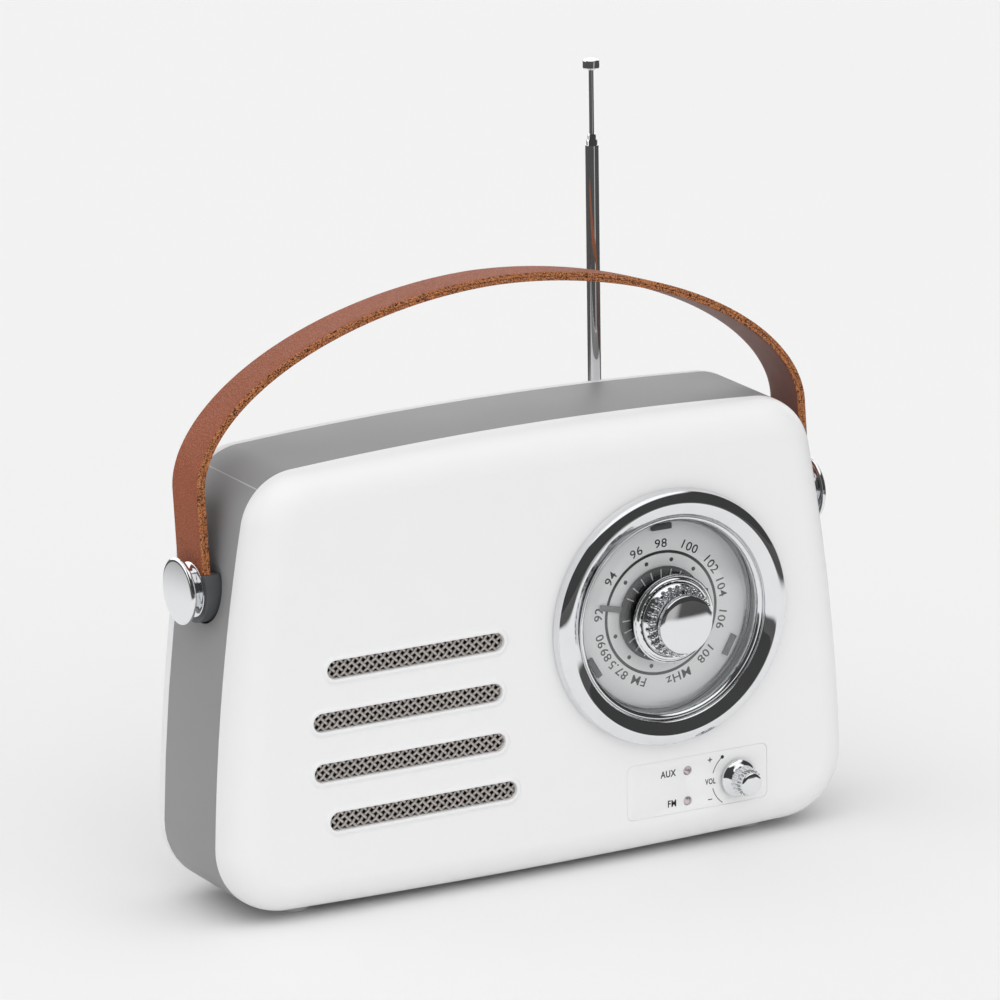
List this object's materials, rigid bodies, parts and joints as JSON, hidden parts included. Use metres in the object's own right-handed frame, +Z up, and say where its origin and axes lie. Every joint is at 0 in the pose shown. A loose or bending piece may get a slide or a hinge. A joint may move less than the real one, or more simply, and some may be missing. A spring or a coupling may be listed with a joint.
{
  "type": "tabletop radio",
  "caption": "Portable tabletop radio with a rounded two-tone case, slotted speaker grille, round tuning dial, control panel, telescopic aerial and an arched leather carrying strap.",
  "frame": {"origin": "centre of the whole object seen from above, on the surface that the rubber feet stand on", "axes": "+X to the right as seen from the front, +Y from the front face to the back, +Z up"},
  "size_m": [0.2672, 0.0924, 0.2897],
  "materials": {
    "white_shell": "soft gloss moulded",
    "grey_band": "satin moulded",
    "boss_grey": "satin moulded",
    "grille_mesh": "woven and coated mesh",
    "chrome": "polished",
    "clear_lens": "clear moulded",
    "clip_dark": "matt",
    "scale_print": "satin with printed scale",
    "pointer_black": "satin",
    "steel": "machined",
    "led_lens": "diffusing",
    "circuit_board": "solder mask",
    "component": "moulded component bodies",
    "black_plastic": "moulded",
    "leather": "grained with raw edges",
    "black_steel": "black coat",
    "ferrite": "sintered",
    "paper_cone": "pressed pulp",
    "brass": "machined",
    "heatsink_alu": "black anodised",
    "cell_wrap": "printed wrap",
    "rubber": "moulded"
  },
  "bodies": {
    "case": {"front_shell": "white_shell", "middle_band": "grey_band", "rear_shell": "white_shell", "speaker_grille": "grille_mesh", "bezel_ring": "chrome", "inner_ring": "chrome", "dial_lens": "clear_lens", "lens_clips": "clip_dark", "scale_plate": "scale_print", "tuning_capacitor": "component", "control_panel": "white_shell", "led_upper": "led_lens", "led_lower": "led_lens", "panel_board": "circuit_board", "volume_pot": "component", "pivot_pins": "steel", "speaker_frame": "black_steel", "speaker_magnet": "ferrite", "speaker_cone": "paper_cone", "speaker_screws": "steel", "main_board": "circuit_board", "board_screws": "brass", "amplifier_heatsink": "heatsink_alu", "ferrite_rod": "ferrite", "battery_box": "black_plastic", "battery_cells": "cell_wrap", "battery_contacts": "steel", "jack_board": "circuit_board", "power_jack": "black_plastic", "aux_jack": "black_plastic", "usb_port": "steel", "rubber_feet": "rubber", "case_screws": "steel"},
    "battery_door": {"battery_door": "white_shell"},
    "tuner": {"tuning_knob": "chrome", "knob_skirt": "clear_lens", "tuning_shaft": "steel", "pointer_disc": "pointer_black"},
    "volume": {"volume_knob": "chrome", "volume_shaft": "steel"},
    "handle": {"handle_strap": "leather", "boss_left": "boss_grey", "boss_right": "boss_grey", "cap_left": "chrome", "cap_right": "chrome"},
    "aerial_swivel": {"aerial_base": "chrome", "aerial_pin": "steel"},
    "aerial_1": {"aerial_tube_1": "chrome"},
    "aerial_2": {"aerial_tube_2": "chrome"},
    "aerial_3": {"aerial_tube_3": "chrome"},
    "aerial_4": {"aerial_rod": "chrome", "aerial_tip": "chrome"},
    "mode_button": {"mode_button": "boss_grey"},
    "back_button": {"back_button": "boss_grey"},
    "next_button": {"next_button": "boss_grey"},
    "power_switch": {"power_switch": "black_plastic"}
  },
  "joints": [
    {"name": "handle_swing", "type": "hinge", "parent": "case", "child": "handle", "pos_m": [0, 0.003, 0.1235], "axis": [1, 0, 0], "range_deg": [-8, 95]},
    {"name": "tuning_turn", "type": "hinge", "parent": "case", "child": "tuner", "pos_m": [0.0516, -0.0315, 0.0941], "axis": [0, 1, 0], "range_deg": [-60, 212]},
    {"name": "volume_turn", "type": "hinge", "parent": "case", "child": "volume", "pos_m": [0.0808, -0.0315, 0.0269], "axis": [0, 1, 0], "range_deg": [-150, 150]},
    {"name": "aerial_turn", "type": "hinge", "parent": "case", "child": "aerial_swivel", "pos_m": [0.0628, 0.0375, 0.1405], "axis": [0, 1, 0], "range_deg": [-90, 90]},
    {"name": "aerial_tilt", "type": "hinge", "parent": "aerial_swivel", "child": "aerial_1", "pos_m": [0.0628, 0.042, 0.1405], "axis": [1, 0, 0], "range_deg": [-90, 0]},
    {"name": "aerial_extend_2", "type": "slide", "parent": "aerial_1", "child": "aerial_2", "axis": [0, 0, 1], "range_m": [0, 0.09]},
    {"name": "aerial_extend_3", "type": "slide", "parent": "aerial_2", "child": "aerial_3", "axis": [0, 0, 1], "range_m": [0, 0.088]},
    {"name": "aerial_extend_4", "type": "slide", "parent": "aerial_3", "child": "aerial_4", "axis": [0, 0, 1], "range_m": [-0.0224, 0.06]},
    {"name": "battery_door_swing", "type": "hinge", "parent": "case", "child": "battery_door", "pos_m": [0.018, 0.0375, 0.0375], "axis": [1, 0, 0], "range_deg": [-95, 0]},
    {"name": "power_slide", "type": "slide", "parent": "case", "child": "power_switch", "axis": [1, 0, 0], "range_m": [0, 0.003]},
    {"name": "mode_press", "type": "slide", "parent": "case", "child": "mode_button", "axis": [0, -1, 0], "range_m": [0, 0.0012], "stiffness_N_per_m": 500},
    {"name": "back_press", "type": "slide", "parent": "case", "child": "back_button", "axis": [0, -1, 0], "range_m": [0, 0.0012], "stiffness_N_per_m": 500},
    {"name": "next_press", "type": "slide", "parent": "case", "child": "next_button", "axis": [0, -1, 0], "range_m": [0, 0.0012], "stiffness_N_per_m": 500}
  ]
}
